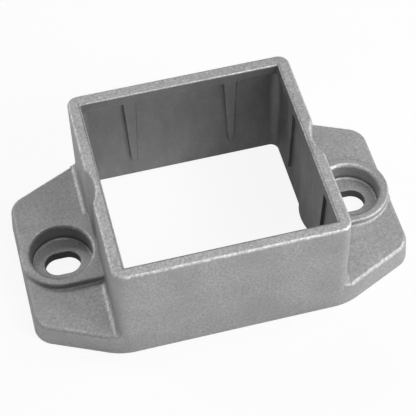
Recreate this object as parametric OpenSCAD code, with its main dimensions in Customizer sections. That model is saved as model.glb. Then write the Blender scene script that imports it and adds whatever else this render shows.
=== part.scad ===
// Base flange for a 60 mm square post, one aluminium casting.
// An open square collar stands on a base plate with an ear at each end.
// Lengths are millimetres. X runs from ear to ear, Y is depth and Z is up.
// The underside is at z = 0 and the part is symmetric in X and in Y.

/* [Collar] */
// outside width of the square collar
collar_w = 68.6; // [64:0.1:80]
// height of the rim above the underside
collar_h = 37.8; // [25:0.1:60]
// plan radius of the collar's outer corners
collar_r = 3.4; // [2:0.1:8]
// rounding of the rim's outer and inner top edges
rim_r = 0.8; // [0.3:0.1:1.2]

/* [Socket] */
// clear width of the square mouth
mouth_w = 61; // [60.2:0.1:62]
// height of the straight band under the rim
band_h = 3.8; // [2:0.1:8]
// clear width just below the band
core_top_w = 63; // [62:0.1:64]
// clear width at the underside
core_low_w = 62; // [61.4:0.1:63]
// radius of the inner corners at the underside
core_low_r = 2.5; // [1:0.1:4]

/* [Grip ribs] */
// distance of each rib from the middle of its wall
rib_at = 15.7; // [8:0.1:22]
// rib width where it meets the band
rib_top_w = 4.1; // [2:0.1:6]
// rib width at its lower end
rib_low_w = 1.9; // [1:0.1:4]
// height of the flat lower end
rib_low_z = 7.5; // [2:0.1:15]
// clear width between facing ribs at their lower ends
rib_low_gap = 60; // [59.8:0.05:61]

/* [Ears] */
// overall length over both ears
span = 115; // [105:0.5:130]
// thickness of the ears
ear_t = 7.5; // [5:0.1:12]
// angle at which an ear narrows toward its end
ear_slope = 25; // [15:1:35]
// plan radius of the ear's outer corners
ear_r = 7; // [4:0.1:10]
// plan radius where the ear's slope runs into the collar's wall
blend_r = 18; // [10:0.5:25]
// draft of the ear's side faces
ear_draft = 4; // [1:0.5:8]
// rounding of the ear's top edge
ear_edge_r = 1.2; // [0.4:0.1:1.5]
// fillet where the collar stands on the ears
root_r = 2; // [1:0.1:4]

/* [Screw bosses] */
// distance between the two screw holes
hole_pitch = 90; // [84:0.5:96]
// radius of the boss at the underside
boss_r = 12.45; // [11:0.05:13]
// height of the boss above the underside
boss_h = 9.5; // [8:0.1:14]
// draft of the boss
boss_draft = 0.9; // [0.5:0.1:3]
// rounding of the boss's outer top edge
boss_edge_r = 0.6; // [0.3:0.1:1]
// fillet at the foot of the boss
foot_r = 0.6; // [0.4:0.1:1.5]
// radius of the counterbore
bore_r = 9.3; // [8:0.1:10]
// height of the machined seat under the screw head
seat_z = 3.3; // [2:0.1:5]
// radius of the machined seat
seat_r = 8.75; // [7:0.05:9.5]
// height of the cast step left round the machined seat
seat_step = 0.3; // [0.1:0.1:1]
// rounding of the counterbore's lip
lip_r = 1.2; // [0.5:0.1:1.6]
// fillet between the cast step and the counterbore's wall
floor_r = 0.5; // [0.3:0.1:1]
// width of the screw slot
slot_w = 8.2; // [6:0.1:10]
// length of the screw slot from end to end
slot_l = 11; // [9:0.1:14]

/* [Driver relief] */
// radius of the cut in the collar at the boss
relief_low_r = 11.25; // [10:0.05:12]
// radius of the cut at the rim
relief_top_r = 12.5; // [11:0.05:14]
// radius of the matching swell inside, at the underside
swell_low_r = 15; // [14:0.05:16]
// radius of the swell just below the band
swell_top_r = 14.4; // [13.5:0.05:15]

/* [Hidden] */
$fn = 96;
cast_colour = [0.72, 0.73, 0.74];
half_w = collar_w / 2;
half_span = span / 2;
hole_x = hole_pitch / 2;
band_z = collar_h - band_h;
// outward direction of the slope and its distance from the origin
side_a = 90 - ear_slope;
slope_d = half_w * (cos(side_a) + sin(side_a));
// centre of the ear's outer corner
tip_x = half_span - ear_r;
tip_y = (slope_d - ear_r - tip_x * cos(side_a)) / sin(side_a);
// straight length of the slope, up to the rounding that runs into the
// collar's long wall a hair inside its face
blend_y = half_w - blend_r - 0.01;
slope_l = (blend_y - tip_y - (ear_r - blend_r) * sin(side_a)) / cos(side_a);
blend_x = tip_x + (ear_r - blend_r) * cos(side_a) - slope_l * sin(side_a);
// depth of the strip that carries a side face
strip_w = blend_r + 2;
// round corners stand this much proud of the flat faces beside them, so that
// neighbouring faces cross instead of only touching
seam = 0.02;
// number of short flats that ease the ear's top edge
ease_flats = 4;
// centre of the collar's outer corners
post_c = half_w - collar_r;
// centre of the inner corners and their radius below the band
core_c = core_low_w / 2 - core_low_r;
core_top_r = core_top_w / 2 - core_c;
// height of the cast step in the counterbore
step_z = seat_z + seat_step;
over = 1;

// value at height z on the straight line from (z0, v0) to (z1, v1)
function at(z, z0, v0, z1, v1) = v0 + (v1 - v0) * (z - z0) / (z1 - z0);

// The child and its mirror image in X
module both_ends() {
    children();
    mirror([1, 0, 0]) children();
}

// The child and its mirror image in Y
module both_sides() {
    children();
    mirror([0, 1, 0]) children();
}

// Section of a solid from x = 0 to an outer face that stands at x = x1 on the
// level z = 0 and leans in by the draft d, with height h and top edge radius r
module edge_section(x1, h, r, d) {
    zc = h - r;
    xc = x1 - zc * tan(d) - r / cos(d);
    polygon([
        [0, 0], [x1, 0],
        [xc + r * cos(d), zc + r * sin(d)],
        [xc, zc], [xc, h], [0, h]
    ]);
    translate([xc, zc]) circle(r);
}

// The same section with its top edge eased by flats that follow the radius r
module eased_section(x1, h, r, d) {
    step = (90 - d) / (ease_flats + 1);
    reach = r / cos(step / 2);
    zc = h - r;
    xc = x1 - zc * tan(d) - r / cos(d);
    polygon([
        [0, 0], [x1, 0],
        for (i = [0:ease_flats])
            let (a = d + (i + 0.5) * step) [xc + reach * cos(a), zc + reach * sin(a)],
        [0, h]
    ]);
}

// The same section with a sharp top edge
module sharp_section(x1, h, d) {
    polygon([[0, 0], [x1, 0], [x1 - h * tan(d), h], [0, h]]);
}

// Section of an opening: half width w0 at z0 and w1 at z1, lip rounded by r
module opening_section(w0, z0, w1, z1, r) {
    a = atan((w1 - w0) / (z1 - z0));
    zc = z1 - r;
    xc = at(zc, z0, w0, z1, w1) + r / cos(a);
    difference() {
        polygon([
            [0, z0], [w0, z0],
            [xc - r * cos(a), zc + r * sin(a)],
            [xc, zc], [xc, z1 + over], [0, z1 + over]
        ]);
        translate([xc, zc]) circle(r);
    }
}

// Section of a fillet of radius r between the level z = 0 and a wall that
// leans by d and crosses that level at the origin
module cove_section(r, d) {
    xc = -r * tan(d) + r / cos(d);
    difference() {
        polygon([
            [-over, -over], [xc, -over], [xc, r],
            [xc - r * cos(d), r - r * sin(d)],
            [-over, r - r * sin(d)]
        ]);
        translate([xc, r]) circle(r);
    }
}

// Solid collar, before the socket is cut
module collar_block() {
    straight = collar_w - 2 * collar_r;
    for (a = [0, 90]) {
        rotate([0, 0, a]) rotate([90, 0, 0])
            linear_extrude(height = straight, center = true) {
                edge_section(half_w, collar_h, rim_r, 0);
                mirror([1, 0]) edge_section(half_w, collar_h, rim_r, 0);
            }
    }
    for (a = [0, 90, 180, 270]) {
        rotate([0, 0, a]) translate([post_c, post_c, 0])
            rotate_extrude(angle = 90) edge_section(collar_r, collar_h, rim_r, 0);
    }
}

// One edge section of the ear: eased for the casting, sharp for trimming
module ear_section(x1, h, r) {
    if (r > 0) {
        eased_section(x1, h, r, ear_draft);
    } else {
        sharp_section(x1, h, ear_draft);
    }
}

// Ear at the +X end: a core, three side strips and the roundings between them
module ear(h, r) {
    linear_extrude(height = h)
        polygon([
            [blend_x, -blend_y], [tip_x, -tip_y], [tip_x, tip_y], [blend_x, blend_y]
        ]);
    translate([half_span - strip_w - seam, 0, 0]) rotate([90, 0, 0])
        linear_extrude(height = 2 * tip_y, center = true) ear_section(strip_w, h, r);
    both_sides() translate([tip_x, tip_y, 0]) {
        rotate([0, 0, -5]) rotate_extrude(angle = side_a + 10) ear_section(ear_r, h, r);
        rotate([0, 0, side_a]) {
            translate([ear_r - strip_w - seam, slope_l, 0]) rotate([90, 0, 0])
                linear_extrude(height = slope_l) ear_section(strip_w, h, r);
            translate([ear_r - blend_r, slope_l, 0]) rotate([0, 0, -4])
                rotate_extrude(angle = ear_slope + 9) ear_section(blend_r, h, r);
        }
    }
}

// Boss at the +X end, straight toward the collar and round at its outer end
module boss() {
    translate([hole_x, 0, 0]) rotate([0, 0, -90])
        rotate_extrude(angle = 180)
            edge_section(boss_r, boss_h, boss_edge_r, boss_draft);
    translate([half_w - over, 0, 0]) rotate([90, 0, 90])
        linear_extrude(height = hole_x - half_w + over) {
            edge_section(boss_r, boss_h, boss_edge_r, boss_draft);
            mirror([1, 0]) edge_section(boss_r, boss_h, boss_edge_r, boss_draft);
        }
}

// Fillet where the collar stands on the ear, wrapped round the collar's corners
module root_fillet() {
    straight = collar_w - 2 * collar_r;
    translate([half_w, 0, ear_t]) rotate([90, 0, 0])
        linear_extrude(height = straight, center = true) cove_section(root_r, 0);
    both_sides()
        translate([post_c, post_c, ear_t])
            rotate_extrude(angle = 90) translate([collar_r, 0]) cove_section(root_r, 0);
}

// Fillet round the foot of the boss
module foot_fillet() {
    foot_at = boss_r - ear_t * tan(boss_draft);
    translate([hole_x, 0, ear_t]) rotate([0, 0, -90])
        rotate_extrude(angle = 180)
            translate([foot_at, 0]) cove_section(foot_r, boss_draft);
    both_sides()
        translate([half_w - over, 0, ear_t]) rotate([90, 0, 90])
            linear_extrude(height = hole_x - half_w + over)
                translate([foot_at, 0]) cove_section(foot_r, boss_draft);
}

// Cone that leaves room for a driver above the screw
module driver_relief() {
    translate([hole_x, 0, 0]) rotate_extrude()
        opening_section(relief_low_r, boss_h, relief_top_r, collar_h, rim_r);
}

// Counterbore with a rounded lip, a fillet and step at its floor, the machined
// seat inside that step and the slot below
module screw_seat() {
    translate([hole_x, 0, 0]) {
        rotate_extrude() {
            difference() {
                opening_section(bore_r, step_z, bore_r, boss_h, lip_r);
                translate([bore_r - floor_r, step_z - over])
                    square([2 * floor_r, floor_r + over]);
            }
            translate([0, step_z]) square([bore_r - floor_r, floor_r]);
            intersection() {
                translate([bore_r - floor_r, step_z + floor_r]) circle(floor_r);
                translate([bore_r - floor_r, step_z]) square(floor_r);
            }
            translate([0, seat_z]) square([seat_r, seat_step + floor_r / 2]);
        }
        translate([0, 0, -over]) linear_extrude(height = seat_z + 2 * over) {
            square([slot_l - slot_w, slot_w], center = true);
            both_ends() translate([(slot_l - slot_w) / 2, 0]) circle(slot_w / 2);
        }
    }
}

// One wedge rib, on the +X wall and centred on y = 0
module rib() {
    top_z = band_z + over;
    top_half = at(top_z, rib_low_z, rib_low_gap / 2, band_z, mouth_w / 2);
    top_w = at(top_z, rib_low_z, rib_low_w, band_z, rib_top_w);
    intersection() {
        rotate([90, 0, 0]) linear_extrude(height = 2 * rib_top_w, center = true)
            polygon([
                [rib_low_gap / 2, rib_low_z], [half_w, rib_low_z],
                [half_w, top_z], [top_half, top_z]
            ]);
        rotate([90, 0, 90]) linear_extrude(height = half_w)
            polygon([
                [-rib_low_w / 2, rib_low_z], [rib_low_w / 2, rib_low_z],
                [top_w / 2, top_z], [-top_w / 2, top_z]
            ]);
    }
}

// Mouth of the socket with its rounded inner edge
module mouth() {
    intersection_for (a = [0, 90]) {
        rotate([90, 0, a]) linear_extrude(height = collar_w, center = true) both_ends()
            opening_section(mouth_w / 2, band_z, mouth_w / 2, collar_h, rim_r);
    }
}

// Clear space below the band, with drafted walls and rounded corners
module core() {
    low_half = at(-over, 0, core_low_w / 2, band_z, core_top_w / 2);
    low_r = low_half - core_c;
    for (a = [0, 90]) {
        rotate([90, 0, a]) linear_extrude(height = 2 * core_c, center = true)
            polygon([
                [-low_half, -over], [low_half, -over],
                [core_top_w / 2, band_z], [-core_top_w / 2, band_z]
            ]);
    }
    for (a = [0, 90, 180, 270]) {
        rotate([0, 0, a]) translate([core_c, core_c, -over])
            cylinder(h = band_z + over, r1 = low_r + seam, r2 = core_top_r + seam);
    }
}

// Swell of the inner wall behind the driver relief
module swell() {
    low_r = at(-2 * over, 0, swell_low_r, band_z, swell_top_r);
    top_r = at(band_z + over, 0, swell_low_r, band_z, swell_top_r);
    translate([hole_x, 0, -2 * over])
        cylinder(h = band_z + 3 * over, r1 = low_r, r2 = top_r);
}

// Everything that is cut out of the collar's middle
module socket() {
    mouth();
    difference() {
        core();
        for (a = [0, 90, 180, 270]) {
            rotate([0, 0, a]) both_sides() translate([0, rib_at, 0]) rib();
        }
        both_ends() swell();
    }
}

module base_flange() {
    color(cast_colour)
        difference() {
            union() {
                collar_block();
                both_ends() {
                    ear(ear_t, ear_edge_r);
                    boss();
                    intersection() {
                        ear(boss_h + over, 0);
                        union() {
                            root_fillet();
                            foot_fillet();
                        }
                    }
                }
            }
            socket();
            both_ends() {
                driver_relief();
                screw_seat();
            }
        }
}

base_flange();
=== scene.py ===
import math
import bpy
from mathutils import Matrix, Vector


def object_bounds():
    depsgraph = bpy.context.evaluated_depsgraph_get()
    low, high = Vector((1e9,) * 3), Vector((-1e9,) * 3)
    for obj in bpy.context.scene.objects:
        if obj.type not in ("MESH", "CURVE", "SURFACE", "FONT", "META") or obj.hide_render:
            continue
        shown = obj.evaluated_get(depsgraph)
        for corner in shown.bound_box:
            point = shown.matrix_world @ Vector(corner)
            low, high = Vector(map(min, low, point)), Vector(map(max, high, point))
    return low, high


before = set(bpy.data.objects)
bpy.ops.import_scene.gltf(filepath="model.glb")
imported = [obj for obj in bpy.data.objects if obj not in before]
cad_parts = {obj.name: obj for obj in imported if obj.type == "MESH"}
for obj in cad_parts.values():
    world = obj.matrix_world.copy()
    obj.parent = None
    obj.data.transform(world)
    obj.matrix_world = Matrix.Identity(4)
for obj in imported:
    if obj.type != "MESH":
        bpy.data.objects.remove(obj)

from types import SimpleNamespace

import bpy
from mathutils import Vector

cad_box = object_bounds()
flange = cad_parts["base_flange"]


# Sizes of the casting that its finish follows, in metres, as in part.scad
MM = 0.001
ear_tip, collar_half, rim_z = cad_box[1]
mouth_half = 30.5 * MM
core_half = 31.5 * MM
band_z = rim_z - 3.8 * MM
rib_at = 15.7 * MM
rib_low_z = 7.5 * MM
rib_low_half = 0.95 * MM
rib_top_half = 2.05 * MM
ear_z = 7.5 * MM
root_r = 2.0 * MM
root_x = collar_half + root_r
root_z = ear_z + root_r
hole_x = 45.0 * MM
boss_z = 9.5 * MM
boss_r = 12.45 * MM
bore_r = 9.3 * MM
seat_r = 8.75 * MM
seat_z = 3.3 * MM
slot_half_l = 5.5 * MM
slot_half_w = 4.1 * MM


# Node trees
class Nodes:
    """Short helpers for building one node tree, of a material or of the world."""

    def __init__(self, owner):
        owner.use_nodes = True
        self.tree = owner.node_tree
        self.tree.nodes.clear()

    def add(self, kind, **values):
        node = self.tree.nodes.new(kind)
        for key, value in values.items():
            setattr(node, key, value)
        return node

    def put(self, node, **values):
        """Fills the inputs of a node. An underscore in a name stands for a space."""
        for key, value in values.items():
            self.put_at(node, key.replace("_", " "), value)

    def put_at(self, node, place, value):
        """Links an output to the input at this place, or sets a plain value on it."""
        if isinstance(value, bpy.types.NodeSocket):
            self.tree.links.new(value, node.inputs[place])
        else:
            node.inputs[place].default_value = value

    def noise(self, vector, scale, detail, rough):
        node = self.add("ShaderNodeTexNoise")
        self.put(node, Vector=vector, Scale=scale, Detail=detail, Roughness=rough)
        return node.outputs["Fac"]

    def split(self, vector):
        node = self.add("ShaderNodeSeparateXYZ")
        self.put_at(node, 0, vector)
        return node.outputs

    def math(self, operation, a, b=0.0):
        node = self.add("ShaderNodeMath", operation=operation)
        self.put_at(node, 0, a)
        self.put_at(node, 1, b)
        return node.outputs[0]

    def product(self, first, *others):
        for other in others:
            first = self.math("MULTIPLY", first, other)
        return first

    def largest(self, first, *others):
        for other in others:
            first = self.math("MAXIMUM", first, other)
        return first

    def opposite(self, value):
        return self.math("SUBTRACT", 1.0, value)

    def distance(self, value, place):
        return self.math("ABSOLUTE", self.math("SUBTRACT", value, place))

    def span(self, value, a, b, c, d, smooth=False):
        """Maps a..b to c..d, clamped."""
        node = self.add("ShaderNodeMapRange")
        if smooth:
            node.interpolation_type = "SMOOTHSTEP"
        self.put(node, Value=value, From_Min=a, From_Max=b, To_Min=c, To_Max=d)
        return node.outputs["Result"]

    def rise(self, value, start, end, smooth=False):
        return self.span(value, start, end, 0.0, 1.0, smooth)

    def fall(self, value, start, end, smooth=False):
        return self.span(value, start, end, 1.0, 0.0, smooth)

    def band(self, value, start, full, fade, end, smooth=False):
        """Rises from 0 to 1 between start and full, and falls back between fade and end."""
        return self.product(self.rise(value, start, full, smooth), self.fall(value, fade, end, smooth))

    def mix(self, amount, a, b):
        """Blends from colour a to colour b."""
        node = self.add("ShaderNodeMix", data_type="RGBA")
        self.put_at(node, 0, amount)
        self.put_at(node, 6, a)
        self.put_at(node, 7, b)
        return node.outputs[2]

    def output(self, kind, shader):
        """Adds the output node and links the shader to its surface."""
        self.put(self.add(kind), Surface=shader.outputs[0])


def grey(value):
    return value, value, value, 1


# Places on the casting
def casting_places(n):
    """Where on the casting a point lies. The casting is symmetric in X and in Y, so one screw
    hole stands for both and one rib for all eight."""
    where = n.add("ShaderNodeTexCoord").outputs["Object"]
    normal = n.add("ShaderNodeNewGeometry").outputs["Normal"]
    x, y, z = n.split(where)
    across = n.math("ABSOLUTE", x)
    along = n.math("ABSOLUTE", y)
    reach = n.largest(across, along)
    off_hole = n.math("SUBTRACT", across, hole_x)
    squares = n.math("ADD", n.product(off_hole, off_hole), n.product(y, y))
    past_flat = n.math("ADD", along, slot_half_l - slot_half_w)
    return SimpleNamespace(
        where=where,
        z=z,
        facing_up=n.split(normal)[2],
        across=across,
        nearest=n.math("MINIMUM", across, along),
        from_hole=n.math("SQRT", squares),
        from_slot=n.largest(n.math("ABSOLUTE", off_hole), past_flat),
        in_socket=n.fall(reach, core_half + 0.1 * MM, core_half + 0.5 * MM),
        on_rim=n.rise(z, rim_z - 0.8 * MM, rim_z - 0.2 * MM),
        on_lip=n.product(
            n.fall(reach, mouth_half + 0.6 * MM, mouth_half + 0.8 * MM),
            n.rise(z, rim_z - 0.8 * MM, rim_z - 0.7 * MM)),
    )


def ear_edges(n, at):
    """The ears' top edges, clear of the collar and the bosses, and weaker at the tips."""
    return n.product(
        n.rise(at.across, root_x + 0.2 * MM, root_x + 1.2 * MM),
        n.fall(at.z, ear_z + 0.3 * MM, ear_z + 0.7 * MM),
        n.rise(at.from_hole, boss_r + 0.55 * MM, boss_r + 0.95 * MM),
        n.span(at.across, ear_tip - 2.5 * MM, ear_tip - 1.3 * MM, 1.0, 0.2))


def boss_edges(n, at):
    """The bosses' top edges, stronger at the counterbore's lip than at the outside."""
    return n.product(
        n.band(at.z, boss_z - 1.4 * MM, boss_z - 1.0 * MM, boss_z, boss_z + 0.5 * MM),
        n.span(at.from_hole, bore_r + 1.5 * MM, bore_r + 2.3 * MM, 0.65, 0.25))


def collar_root(n, at):
    """The fillet where the collar stands on the ears."""
    return n.product(
        n.fall(at.across, root_x + 0.2 * MM, root_x + 0.7 * MM),
        n.fall(at.z, root_z + 0.5 * MM, root_z + 1.5 * MM))


def seat_ring(n, at):
    """Painted highlight on the edge of the machined seat in the counterbore."""
    return n.product(
        n.band(at.from_hole, seat_r - 0.10 * MM, seat_r, seat_r + 0.25 * MM, seat_r + 0.35 * MM),
        n.band(at.z, seat_z + 0.1 * MM, seat_z + 0.2 * MM, seat_z + 0.7 * MM, seat_z + 0.9 * MM))


def seat_shade(n, at):
    """Painted shade in the corner round the seat, at the foot of the counterbore's wall."""
    return n.product(
        n.band(at.from_hole, seat_r + 0.15 * MM, seat_r + 0.35 * MM, seat_r + 1.05 * MM, seat_r + 1.25 * MM),
        n.band(at.z, seat_z + 0.1 * MM, seat_z + 0.2 * MM, seat_z + 0.9 * MM, seat_z + 1.9 * MM))


def slot_walls(n, at):
    """The walls of the screw slots, below the seat."""
    return n.product(
        n.fall(at.from_slot, slot_half_l + 0.2 * MM, slot_half_l + 0.3 * MM),
        n.fall(at.z, seat_z - 0.5 * MM, seat_z - 0.1 * MM))


def rib_outline(n, at):
    """The painted shade line round each grip rib, where its sides and its foot meet the wall."""
    from_rib = n.distance(at.nearest, rib_at)
    half = n.span(at.z, rib_low_z, band_z, rib_low_half, rib_top_half)
    sides = n.product(
        n.fall(n.distance(from_rib, half), 0.08 * MM, 0.22 * MM),
        n.rise(at.z, rib_low_z - 0.2 * MM, rib_low_z))
    foot = n.product(
        n.fall(n.distance(at.z, rib_low_z), 0.10 * MM, 0.25 * MM),
        n.fall(from_rib, rib_low_half, rib_low_half + 0.1 * MM))
    below_band = n.fall(at.z, band_z - 0.2 * MM, band_z + 0.2 * MM)
    return n.product(n.largest(sides, foot), at.in_socket, below_band)


# Cast aluminium
def casting_noises(n, where):
    """The noises that the finish is made of, from the finest to the broadest."""
    drawn = n.add("ShaderNodeMapping")
    n.put(drawn, Vector=where, Scale=(1, 1, 0.4))
    return SimpleNamespace(
        grain=n.noise(where, scale=2200, detail=3, rough=0.75),
        coarse=n.noise(where, scale=1500, detail=3, rough=0.7),
        speck=n.noise(where, scale=1250, detail=2, rough=0.55),
        fleck=n.noise(where, scale=1000, detail=4, rough=0.75),
        smear=n.noise(drawn.outputs[0], scale=260, detail=4, rough=0.6),
        patch=n.noise(where, scale=130, detail=2, rough=0.5),
        cloud=n.noise(where, scale=80, detail=4, rough=0.6),
    )


def rim_highlight_and_wear(n, at, noises, rounded, lip_line):
    """The rim's outer edge is lightened in flecks, partly as wear and partly as painted highlight, and its
    inner edge has a thin broken line of painted highlight.
    """
    flecks = n.span(noises.fleck, 0.44, 0.58, 0.4, 1.4)
    near_top = n.rise(at.z, rim_z - 2.3 * MM, rim_z - 1.3 * MM)
    outer = n.product(rounded, near_top, n.opposite(at.on_lip), flecks)
    patches = n.span(noises.patch, 0.42, 0.56, 1.3, 3.0)
    off_corner = n.span(at.nearest, mouth_half - 1.3 * MM, mouth_half - 0.5 * MM, 1.0, 0.15)
    inner = n.product(at.on_lip, lip_line, flecks, patches, off_corner)
    return n.largest(outer, inner)


def edge_highlight_and_wear(n, at, noises, rounded, on_ear, lip_line):
    """How far each edge is lightened, partly as wear and partly as painted highlight, broken up by the
    specks of the skin.
    """
    # Painted highlight along the collar root's fillet
    root_highlight_share = 0.55
    ear_highlight_share = 0.65
    # Painted highlight on the seat ring
    seat_highlight_share = 0.8
    # A painted highlight line along the ears' top edges, near the top face
    ear_top_highlight = n.band(at.facing_up, 0.5, 0.75, 0.96, 0.998, smooth=True)
    low_edges = n.largest(boss_edges(n, at), n.product(collar_root(n, at), root_highlight_share))
    rub_and_highlight = n.largest(
        n.product(rounded, low_edges),
        rim_highlight_and_wear(n, at, noises, rounded, lip_line),
        n.product(ear_top_highlight, on_ear, ear_highlight_share),
        n.product(seat_ring(n, at), seat_highlight_share))
    return n.product(rub_and_highlight, n.span(noises.speck, 0.38, 0.6, 0.4, 1.0))


def skin_mottle(n, at, noises):
    """The grain of the blasted skin, centred on 0 and stronger on faces that look up."""
    grain = n.product(n.math("SUBTRACT", noises.grain, 0.5), 1.15)
    speck = n.product(n.math("SUBTRACT", noises.speck, 0.5), 0.55)
    return n.product(n.math("ADD", grain, speck), n.span(at.facing_up, 0.7, 0.95, 1.0, 1.25))


def casting_tone(n, at, noises, wear_and_highlight, lip_line):
    """The colour: the mottled skin, and over it one layer after another, each with its own grey; several
    layers are painted shade, and one is wear with painted highlight.
    """
    inside = n.product(at.in_socket, n.fall(at.z, rim_z - 0.9 * MM, rim_z - 0.6 * MM))
    beside_line = n.product(at.on_lip, n.opposite(lip_line))
    clouds = (n.span(noises.cloud, 0.35, 0.65, 0.0, 0.5), 0.364)
    # Painted shade inside the socket, mottled by streaks
    socket_painted_shade = (n.product(inside, n.span(noises.smear, 0.35, 0.65, 0.45, 0.7)), 0.274)
    ground_rim = (n.product(at.on_rim, n.span(noises.coarse, 0.42, 0.68, 0.0, 0.6)), 0.80)
    # Painted shade on the inner lip's rounding, beside its highlight line
    lip_painted_shade = (n.product(beside_line, 0.35), 0.12)
    # Painted shade in the corner round each seat
    seat_painted_shade = (n.product(seat_shade(n, at), 0.5), 0.10)
    # Painted shade lines round the grip ribs
    rib_painted_shade = (n.product(rib_outline(n, at), 0.5), 0.10)
    # Edges lightened by wear and by painted highlight
    edge_rub_highlight_layer = (n.product(wear_and_highlight, 0.6), 0.88)
    # Painted shade on the slot walls
    slot_painted_shade = (n.product(slot_walls(n, at), 0.8), 0.05)
    tone = n.mix(n.rise(skin_mottle(n, at, noises), -0.35, 0.35), grey(0.303), grey(0.655))
    layers = (clouds, socket_painted_shade, ground_rim, lip_painted_shade, seat_painted_shade, rib_painted_shade, edge_rub_highlight_layer, slot_painted_shade)
    for amount, shade in layers:
        tone = n.mix(amount, tone, grey(shade))
    return tone


def casting_normal(n, at, noises):
    """A bump of fine grain, coarser on the rim, over slightly softened edges."""
    soft = n.add("ShaderNodeBevel", samples=6)
    n.put(soft, Radius=0.5 * MM)
    fine = n.math("ADD", noises.grain, noises.speck)
    height = n.math("ADD", fine, n.product(noises.coarse, at.on_rim, 1.2))
    bump = n.add("ShaderNodeBump")
    n.put(bump, Strength=0.5, Distance=0.14 * MM, Height=height, Normal=soft.outputs["Normal"])
    return bump.outputs["Normal"]


def casting_roughness(n, noises, rounded, on_ear, wear_and_highlight):
    """Rubbed edges are smoother than the skin, and the ears' edges rougher."""
    skin = n.span(noises.grain, 0.3, 0.7, 0.56, 0.68)
    smoother = n.math("SUBTRACT", skin, n.product(wear_and_highlight, 0.08))
    return n.math("ADD", smoother, n.product(rounded, on_ear, 0.13))


def cast_aluminium():
    """Blasted cast aluminium: fine grain and faint clouding, painted shade inside the socket,
    a coarsely ground rim, edges lightened by wear and by painted highlight, and painted shade in the slots."""
    mat = bpy.data.materials.new("cast_aluminium")
    n = Nodes(mat)
    at = casting_places(n)
    noises = casting_noises(n, at.where)
    rounded = n.band(at.facing_up, 0.10, 0.35, 0.94, 0.995, smooth=True)
    # Band on the inner lip's rounding that carries a thin painted highlight line; the rest of the lip gets
    # painted shade
    lip_line = n.band(at.facing_up, 0.22, 0.36, 0.70, 0.84)
    on_ear = ear_edges(n, at)
    wear_and_highlight = edge_highlight_and_wear(n, at, noises, rounded, on_ear, lip_line)
    metal = n.add("ShaderNodeBsdfPrincipled")
    n.put(
        metal,
        Base_Color=casting_tone(n, at, noises, wear_and_highlight, lip_line),
        Metallic=1.0,
        Roughness=casting_roughness(n, noises, rounded, on_ear, wear_and_highlight),
        Normal=casting_normal(n, at, noises))
    n.output("ShaderNodeOutputMaterial", metal)
    return mat


flange.data.materials.clear()
flange.data.materials.append(cast_aluminium())


# Floor and sky
def backdrop_material():
    """Matte white ground with a soft shadow. Its glow lifts it to white for the camera
    and, more weakly, for what the metal reflects."""
    seen_share = 0.9
    mirrored_share = 0.1
    mat = bpy.data.materials.new("backdrop")
    n = Nodes(mat)
    ray = n.add("ShaderNodeLightPath").outputs
    mirrored = n.math("ADD", ray["Is Glossy Ray"], ray["Is Transmission Ray"])
    seen = n.product(ray["Is Camera Ray"], seen_share)
    glow = n.math("ADD", seen, n.product(mirrored, mirrored_share))
    ground = n.add("ShaderNodeBsdfDiffuse")
    n.put(ground, Color=grey(0.85))
    white = n.add("ShaderNodeEmission")
    n.put(white, Color=grey(1), Strength=1.0)
    blend = n.add("ShaderNodeMixShader")
    n.put_at(blend, 0, glow)
    n.put_at(blend, 1, ground.outputs[0])
    n.put_at(blend, 2, white.outputs[0])
    n.output("ShaderNodeOutputMaterial", blend)
    return mat


def flat_sheet(name, size, z):
    """A square in the plane at height z, centred under the part."""
    mesh = bpy.data.meshes.new(name)
    h = size / 2
    mesh.from_pydata([(-h, -h, z), (h, -h, z), (h, h, z), (-h, h, z)], [], [(0, 1, 2, 3)])
    obj = bpy.data.objects.new(name, mesh)
    bpy.context.scene.collection.objects.link(obj)
    return obj


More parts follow.
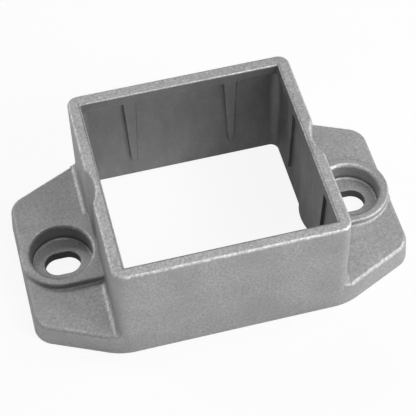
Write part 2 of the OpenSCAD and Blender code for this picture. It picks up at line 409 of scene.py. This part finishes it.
def studio_sky():
    """A dim white sky, a little brighter in what the metal reflects, and plain white to the camera."""
    plain_level = 0.02
    mirrored_level = 0.03
    camera_level = 1.0
    world = bpy.data.worlds.new("studio")
    n = Nodes(world)
    ray = n.add("ShaderNodeLightPath").outputs
    level = n.span(ray["Is Glossy Ray"], 0.0, 1.0, plain_level, mirrored_level)
    sky = n.add("ShaderNodeBackground")
    n.put(sky, Color=grey(1), Strength=n.span(ray["Is Camera Ray"], 0.0, 1.0, level, camera_level))
    n.output("ShaderNodeOutputWorld", sky)
    return world


# The floor lies just under the part, so that the two don't share a plane
floor = flat_sheet("floor", size=6.0, z=-0.2 * MM)
floor.data.materials.append(backdrop_material())

bpy.context.scene.world = studio_sky()


# Lamps
def softbox(name, azimuth, elevation, power):
    """A soft square lamp that faces the part. Azimuth 0 is in front of it, on -Y, and 90 is on +X."""
    away = 1.0
    side = 0.3
    a = math.radians(azimuth)
    e = math.radians(elevation)
    at = Vector((math.sin(a) * math.cos(e), -math.cos(a) * math.cos(e), math.sin(e))) * away
    lamp = bpy.data.lights.new(name, "AREA")
    lamp.shape = "RECTANGLE"
    lamp.size = side
    lamp.size_y = side
    lamp.energy = power
    obj = bpy.data.objects.new(name, lamp)
    obj.location = at
    obj.rotation_euler = (-at).to_track_quat("-Z", "Y").to_euler()
    bpy.context.scene.collection.objects.link(obj)


softbox("key", azimuth=45, elevation=42, power=4.2)
softbox("key low", azimuth=45, elevation=12, power=2.3)
softbox("right low", azimuth=75, elevation=12, power=1.4)
softbox("right", azimuth=90, elevation=50, power=1.5)
softbox("right high", azimuth=90, elevation=70, power=1.3)
softbox("right back", azimuth=110, elevation=30, power=0.9)
softbox("back", azimuth=190, elevation=50, power=1.1)
softbox("left back", azimuth=227, elevation=30, power=2.1)
softbox("left low", azimuth=270, elevation=12, power=0.5)
softbox("left front", azimuth=330, elevation=35, power=0.45)
softbox("above", azimuth=0, elevation=89, power=1.15)


# Camera
def photo_camera():
    """The camera at the photograph's place, angle and focal length."""
    place = (-0.059577, -0.260158, 0.366731)
    turn = (37.19982, 1.03897, -14.38025)
    lens = bpy.data.cameras.new("camera")
    lens.sensor_width = 36.0
    lens.lens = 127.216
    lens.clip_start = 0.01
    lens.clip_end = 20
    obj = bpy.data.objects.new("camera", lens)
    obj.location = place
    obj.rotation_euler = [math.radians(v) for v in turn]
    bpy.context.scene.collection.objects.link(obj)
    return obj


bpy.context.scene.camera = photo_camera()
bpy.context.scene.view_settings.view_transform = "Standard"
